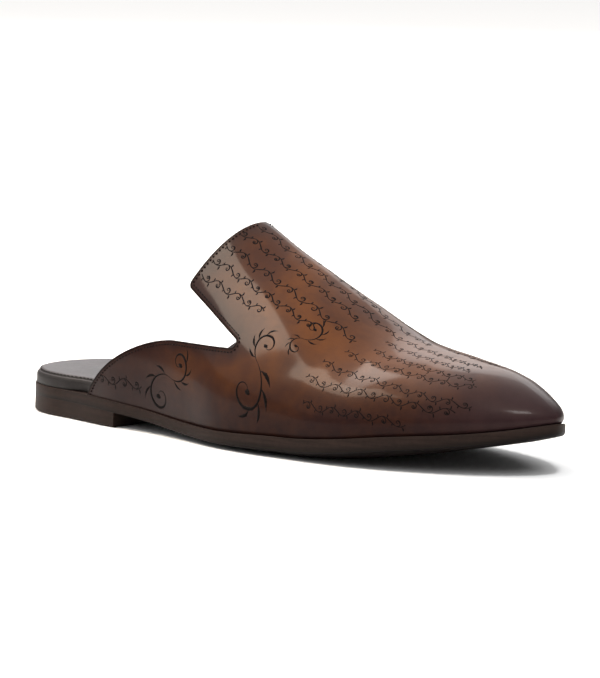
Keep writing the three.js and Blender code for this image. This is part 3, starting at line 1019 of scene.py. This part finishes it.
class SLIPPER_OT_upper(bpy.types.Operator):
    """Builds the upper: one wall with its lining, rounded edges and the attributes for its burnishing and
    painted shade.
    """

    bl_idname = "slipper.upper"
    bl_label = "Upper"

    def execute(self, context):
        last = Last(context.scene.slipper_sizes)
        grids = upper_skin(last)
        piece = make_object("upper_wall", grids, burnished_calf(), weld=2e-5)
        piece.data.materials.append(lining_leather())
        outwards = sum(p.normal.dot(p.center - Vector((0, 0, 20 * MM))) for p in piece.data.polygons)
        if outwards < 0:
            piece.data.flip_normals()
        shell = piece.modifiers.new("wall", "SOLIDIFY")
        shell.thickness = last.wall
        shell.offset = -1
        shell.material_offset = 1
        shell.material_offset_rim = 0
        edge = piece.modifiers.new("edge", "BEVEL")
        edge.width = 0.45 * MM
        edge.segments = 3
        edge.limit_method = "ANGLE"
        edge.angle_limit = np.radians(50)
        apply_modifiers(piece)
        piece.data.shade_smooth()
        at = coordinates(piece)
        x = last.wing_rear + (last.shoe_length - last.wing_rear) * np.sin(quarter(400))
        # Distances for the materials; the foot distance places burnish and painted shade along the
        # upper's lower side.
        lines = {
            "edge": [collar_line(last, side, 0.0) for side in SIDES],
            "foot": [last.rib(x, side, 0.0) for side in SIDES],
            "toe": [last.rib([last.shoe_length], INSIDE, 0.0)],
        }
        for name, line in lines.items():
            add_attribute(piece, name, distance_to(at, np.concatenate(line)))
        local = at - last.shift
        behind = smooth((last.notch_reach + 6 * MM - local[:, 0]) / (34 * MM))
        low = smooth((58 * MM - local[:, 2]) / (18 * MM))
        add_attribute(piece, "wing", behind * low)
        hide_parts("upper")
        return {"FINISHED"}


class SLIPPER_OT_engraving(bpy.types.Operator):
    """Engraves the scrolling vine over the upper."""

    bl_idname = "slipper.engraving"
    bl_label = "Engraving"

    MARGIN = 2.6 * MM
    SINK, PROUD = 0.05 * MM, 0.07 * MM

    def execute(self, context):
        skin = Skin(Last(context.scene.slipper_sizes))
        tree = tree_of(bpy.data.objects["upper_wall"])
        parts = []
        for points, widths in engraved_strokes():
            u, v = points.T * MM
            kept = skin.inside(u, v, self.MARGIN)
            cuts = np.flatnonzero(np.diff(np.concatenate([[False], kept, [False]]).astype(int)))
            for start, end in zip(cuts[::2], cuts[1::2]):
                if end - start < max(4, min(12, 0.7 * len(points))):
                    continue
                place, normal = snapped(tree, skin.place(u[start:end], v[start:end]))
                parts.append(ribbon(place, normal, widths[start:end] * MM, self.SINK, self.PROUD))
        make_object("engraving", parts, inked_groove())
        return {"FINISHED"}


class SLIPPER_OT_collar_stitching(bpy.types.Operator):
    """Sews the row of fine stitches along the collar's edge."""

    bl_idname = "slipper.collar_stitching"
    bl_label = "Collar stitching"

    INSET, THICKNESS = 1.75 * MM, 0.55 * MM

    def execute(self, context):
        last = Last(context.scene.slipper_sizes)
        tree = tree_of(bpy.data.objects["upper_wall"])
        parts = []
        for side in SIDES:
            line, normal = snapped(tree, collar_line(last, side, self.INSET)[3:])
            parts += stitches(line, normal, last.stitch_pitch, 0.72, self.THICKNESS, 0.0)
        make_object("collar_stitches", parts, waxed_thread())
        return {"FINISHED"}


def plate(last, name, inset, upper, lower, material):
    """A closed plate on the sole's plan, from an upper and a lower profile that run inwards from
    the rim. A profile is a list of steps, each with a function that gives its height."""
    stations, middle = 150, 14
    x = last.shoe_length * eased(stations)
    base = inset(x)
    ends = [np.stack(last.outline(x, side, base), -1) for side in SIDES]
    narrowing = np.minimum(1, 0.4 * np.linalg.norm(ends[1] - ends[0], axis=1) / last.roll_width)
    narrowing[x < last.shoe_length / 2] = 1
    share = np.linspace(0, 1, middle + 1)[1:-1]
    parts = []
    for profile, order in ((upper, 1), (lower, -1)):
        halves = []
        for side in SIDES:
            columns = []
            for step, height in profile:
                depth = step * narrowing
                px, py = last.outline(x, side, base + depth)
                columns.append(np.stack([px, py, height(px, depth, base)], -1))
            halves.append(np.stack(columns, 1))
        left, right = halves[0], halves[1][:, ::-1]
        across = (right[:, 0] - left[:, -1])[:, None]
        between = left[:, -1:] + across * share[None, :, None]
        depth = depth[:, None] + np.linalg.norm(across, axis=2) * np.minimum(share, 1 - share)
        between[..., 2] = profile[-1][1](between[..., 0], depth, base[:, None])
        whole = np.concatenate([left, between, right], 1)
        parts.append((whole + last.shift, grid_quads(*whole.shape[:2])[:, ::order]))
    return make_object(name, parts, material, weld=2e-6)


class SLIPPER_OT_sole(bpy.types.Operator):
    """Builds the outsole with its softened edges, rolled border and the attribute for its painted shade.
    """

    bl_idname = "slipper.sole"
    bl_label = "Outsole"

    STEPS = (0, 0.03, 0.1, 0.22, 0.4, 0.7, 1.1, 1.6, 2.3, 4, 7, 10, 13.5, 17)

    def execute(self, context):
        last = Last(context.scene.slipper_sizes)

        def toe_share(x):
            return smooth((x - 0.86 * last.shoe_length) / (0.13 * last.shoe_length))

        def middle(x, step, base):
            return 0.5 * (last.top(x, 0 * x) + last.under(x, 0 * x))

        def top(x, step, base):
            return last.top(x, step) - rounding(0.35 * MM + 0.4 * MM * toe_share(x), step)

        def under(x, step, base):
            free = smooth((x - last.heel_length) / (8 * MM))
            radius = (0.06 + 0.3 * free) * MM + 1.2 * MM * toe_share(x)
            return last.under(x, step) + rounding(radius, step)

        upper = [(0.0, middle)] + [(step * MM, top) for step in self.STEPS]
        lower = [(0.0, middle)] + [(step * MM, under) for step in self.STEPS]
        piece = plate(last, "sole_plate", lambda x: 0 * x, upper, lower, sole_edge())
        # Painted shade for the material: the downward faces, and the low band of the edge under the
        # forefoot's rolled border.
        x, _, z = (coordinates(piece) - last.shift).T
        share = (z - last.under(x, 0.0)) / last.sole_thickness
        shade = (1 - smooth((share - 0.15) / 0.55)) * smooth((x - 0.42 * last.shoe_length) / (40 * MM))
        add_attribute(piece, "under", np.maximum(smooth(-rise_of(piece) / 0.35), 0.85 * shade))
        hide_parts("outsole")
        return {"FINISHED"}


class SLIPPER_OT_heel(bpy.types.Operator):
    """Builds the heel block with its flare, softened rim and hollow breast."""

    bl_idname = "slipper.heel"
    bl_label = "Heel"

    STATIONS, BREAST_POINTS, RIM_RINGS = 90, 26, 7
    RIM, CLEARANCE = 1.3 * MM, 0.02 * MM

    def execute(self, context):
        last = Last(context.scene.slipper_sizes)
        x = last.heel_length * eased(self.STATIONS)
        levels = [
            (self.RIM * (1 - np.sin(a)) / last.heel_height, self.RIM * (1 - np.cos(a)))
            for a in quarter(self.RIM_RINGS)[::-1]
        ]
        rings = []
        for level, tuck in [*levels, (0.5, 0.0), (1.0, 0.0)]:
            outer, inner = (last.outline(x, s, tuck - last.heel_flare * (1 - level)) for s in SIDES)
            front_y = np.linspace(inner[1][-1], outer[1][-1], self.BREAST_POINTS)[1:-1]
            across = np.clip(np.abs(front_y) / (0.5 * last.heel_width), 0, 1)
            front_x = outer[0][-1] - last.breast_hollow * (1 - across**2) - tuck
            px = np.concatenate([inner[0], front_x, outer[0][::-1][:-1]])
            py = np.concatenate([inner[1], front_y, outer[1][::-1][:-1]])
            rings.append(np.stack([px, py, level * (last.bottom(px) - self.CLEARANCE)], -1))
        block = np.array(rings) + last.shift
        walls = (block, tube_quads(*block.shape[:2]))
        piece = make_object("heel_block", [walls], sole_edge())
        bm = bmesh.new()
        bm.from_mesh(piece.data)
        bmesh.ops.holes_fill(bm, edges=bm.edges, sides=0)
        bmesh.ops.triangulate(bm, faces=[f for f in bm.faces if len(f.verts) > 4])
        bmesh.ops.recalc_face_normals(bm, faces=bm.faces)
        bm.to_mesh(piece.data)
        bm.free()
        piece.data.set_sharp_from_angle(angle=np.radians(40))
        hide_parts("heel")
        return {"FINISHED"}


class SLIPPER_OT_insole(bpy.types.Operator):
    """Builds the padded footbed with its rolled rim, seam groove and stitches."""

    bl_idname = "slipper.insole"
    bl_label = "Insole"

    SEAM = 1.25 * MM
    TOP_STEPS = (
        0.02, 0.08, 0.2, 0.4, 0.6, 0.8, 0.95, 1.08, 1.16, 1.25, 1.34, 1.42, 1.55, 1.75,
        2.1, 2.5, 3.0, 3.6, 4.5, 6.0, 8.0, 11.0, 14.0, 17.0,
    )
    SEAM_REACH, PITCH, THREAD = 104 * MM, 2.4 * MM, 0.4 * MM

    def execute(self, context):
        last = Last(context.scene.slipper_sizes)
        thick, radius = last.insole_thickness, last.insole_round

        def inset(x):
            """Flush at the bare heel, inside the upper's wall in front of it."""
            inner = last.upper_inset(x) + last.wall + 0.3 * MM
            covered = smooth((x - last.wing_rear + 16 * MM) / (14 * MM))
            return last.heel_reveal + (inner - last.heel_reveal) * covered

        def top(x, step, base):
            """The full height less the rounded edge, the heel cup and the seam groove."""
            cup = smooth((step - radius) / (13 * MM)) * (1 - smooth((x - 40 * MM) / (60 * MM)))
            groove = 0.42 * MM * bell(step - self.SEAM, 0.24 * MM)
            swell = 0.30 * MM * bell(step - self.SEAM - 1.5 * MM, 1.2 * MM)
            drop = rounding(radius, step) + last.heel_cup * cup + groove - swell
            return last.top(x, step + base) + thick - drop

        def side(share):
            return lambda x, step, base: last.top(x, step + base) + 0.05 * MM + share * (thick - radius)

        upper = [(0.0, side(0.5)), (0.0, side(1.0))] + [(step * MM, top) for step in self.TOP_STEPS]
        lower = [(0.0, side(0.5)), (0.0, side(0.12))]
        lower += [(step * MM, side(0.0)) for step in (0.3, 3, 7, 12, 17)]
        piece = plate(last, "footbed", inset, upper, lower, lining_leather())
        # Share by which the surface turns away from up, for the darker rim colour.
        add_attribute(piece, "rim", smooth((0.95 - rise_of(piece)) / 0.3))
        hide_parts("insole")
        x = np.linspace(0, 1, 60) ** 2 * self.SEAM_REACH
        halves = []
        for hand in SIDES:
            px, py = last.outline(x, hand, inset(x) + self.SEAM)
            halves.append(np.stack([px, py, last.top(px, self.SEAM + 0 * x) + thick], -1) + last.shift)
        line = snapped(tree_of(piece), np.concatenate([halves[0][::-1], halves[1][1:]]))[0]
        up = np.tile([0.0, 0.0, 1.0], (len(line), 1))
        parts = stitches(line, up, self.PITCH, 0.7, self.THREAD, -0.05 * MM)
        make_object("footbed_stitches", parts, waxed_thread())
        return {"FINISHED"}


def add_to_scene(name, data):
    """A new object that holds the data."""
    made = bpy.data.objects.new(name, data)
    bpy.context.scene.collection.objects.link(made)
    return made


def view_axes(azimuth, elevation, roll):
    """Right, up and back of a camera that looks at the object from those angles, in degrees."""
    a, e, r = np.radians([azimuth, elevation, roll])
    flat = np.array([np.cos(a), np.sin(a), 0.0])
    back = np.array([np.sin(a) * np.cos(e), -np.cos(a) * np.cos(e), np.sin(e)])
    up = np.cross(back, flat)
    return np.cos(r) * flat + np.sin(r) * up, np.cos(r) * up - np.sin(r) * flat, back


class SLIPPER_OT_stage(bpy.types.Operator):
    """Sets the floor, the soft studio lights and the camera."""

    bl_idname = "slipper.stage"
    bl_label = "Stage"

    AZIMUTH, ELEVATION, ROLL = 46.1, 7.16, 0.756
    DISTANCE = 2.69
    AIM = (0.0, 0.0, 0.035)
    OFFSET = (0.0029, 0.0067)
    LENS_PIXELS = 4682 * 1.38
    IMAGE_HEIGHT = 678
    SENSOR = 36.0
    FLOOR_REACH = 9.0
    SKY_STRENGTH = 0.20
    OVERHEAD_STRENGTH = 2.2
    # Name, place, what it faces, size, power, colour.
    LIGHTS = (
        ("key", (-1.03, -0.64, 1.53), (0.0, 0.0, 0.04), (0.66, 1.04), 20.5, (1.0, 0.86, 0.70)),
        ("side", (-1.17, -0.02, 1.55), (0.0, 0.0, 0.04), (1.24, 0.48), 17, (1.0, 0.92, 0.84)),
        ("back", (-1.12, 1.43, 0.92), (0.0, 0.0, 0.04), (1.2, 1.0), 8.5, (1.0, 1.0, 1.0)),
        ("toe_spark", (0.60, -0.12, 1.72), (0.1, 0.0, 0.03), (0.38, 0.28), 14, (1.0, 1.0, 1.0)),
    )

    def execute(self, context):
        scene = context.scene
        mesh = bpy.data.meshes.new("floor")
        far = self.FLOOR_REACH
        corners = [(-far, -far, 0), (far, -far, 0), (far, far, 0), (-far, far, 0)]
        mesh.from_pydata(corners, [], [(0, 1, 2, 3)])
        mesh.materials.append(studio_floor())
        add_to_scene("floor", mesh)
        right, up, back = view_axes(self.AZIMUTH, self.ELEVATION, self.ROLL)
        aim = np.array(self.AIM) + right * self.OFFSET[0] + up * self.OFFSET[1]
        data = bpy.data.cameras.new("camera")
        data.sensor_fit = "VERTICAL"
        data.sensor_height = self.SENSOR
        data.lens = self.LENS_PIXELS * self.SENSOR / self.IMAGE_HEIGHT
        data.clip_end = 60.0
        scene.camera = add_to_scene("camera", data)
        turn = Matrix(np.stack([right, up, back], 1).tolist()).to_4x4()
        scene.camera.matrix_world = Matrix.Translation(Vector(aim + back * self.DISTANCE)) @ turn
        scene.world = bpy.data.worlds.new("studio")
        scene.world.use_nodes = True
        sky = scene.world.node_tree.nodes["Background"].inputs
        sky["Color"].default_value = (1, 1, 1, 1)
        sky["Strength"].default_value = self.SKY_STRENGTH
        overhead = bpy.data.lights.new("overhead", "SUN")
        overhead.energy = self.OVERHEAD_STRENGTH
        overhead.angle = np.radians(130)
        add_to_scene("overhead", overhead).rotation_euler = (np.radians(8), np.radians(-10), 0)
        for name, place, target, size, power, colour in self.LIGHTS:
            panel = bpy.data.lights.new(name, "AREA")
            panel.shape = "RECTANGLE"
            panel.size, panel.size_y = size
            panel.energy = power
            panel.color = colour
            light = add_to_scene(name, panel)
            light.location = place
            light.rotation_euler = (Vector(target) - Vector(place)).to_track_quat("-Z", "Y").to_euler()
        scene.view_settings.view_transform = "Standard"
        return {"FINISHED"}


class SLIPPER_PT_panel(bpy.types.Panel):
    """Sizes, colours and build steps in the sidebar."""

    bl_idname = "SLIPPER_PT_panel"
    bl_label = "Babouche Slipper"
    bl_space_type = "VIEW_3D"
    bl_region_type = "UI"
    bl_category = "Slipper"

    def draw(self, context):
        for group in (context.scene.slipper_sizes, context.scene.slipper_colours):
            box = self.layout.box()
            for name in type(group).__annotations__:
                box.prop(group, name)
        for operator in OPERATORS:
            self.layout.operator(operator.bl_idname)


OPERATORS = (
    SLIPPER_OT_stage,
    SLIPPER_OT_sole,
    SLIPPER_OT_heel,
    SLIPPER_OT_insole,
    SLIPPER_OT_upper,
    SLIPPER_OT_engraving,
    SLIPPER_OT_collar_stitching,
)
CLASSES = (SlipperSizes, SlipperColours, *OPERATORS, SLIPPER_PT_panel)


def register():
    for item in CLASSES:
        bpy.utils.register_class(item)
    bpy.types.Scene.slipper_sizes = bpy.props.PointerProperty(type=SlipperSizes)
    bpy.types.Scene.slipper_colours = bpy.props.PointerProperty(type=SlipperColours)


def unregister():
    del bpy.types.Scene.slipper_sizes
    del bpy.types.Scene.slipper_colours
    for item in reversed(CLASSES):
        bpy.utils.unregister_class(item)


def main():
    register()
    bpy.ops.slipper.stage()
    bpy.ops.slipper.sole()
    bpy.ops.slipper.heel()
    bpy.ops.slipper.insole()
    bpy.ops.slipper.upper()
    bpy.ops.slipper.engraving()
    bpy.ops.slipper.collar_stitching()


if __name__ == "__main__":
    main()
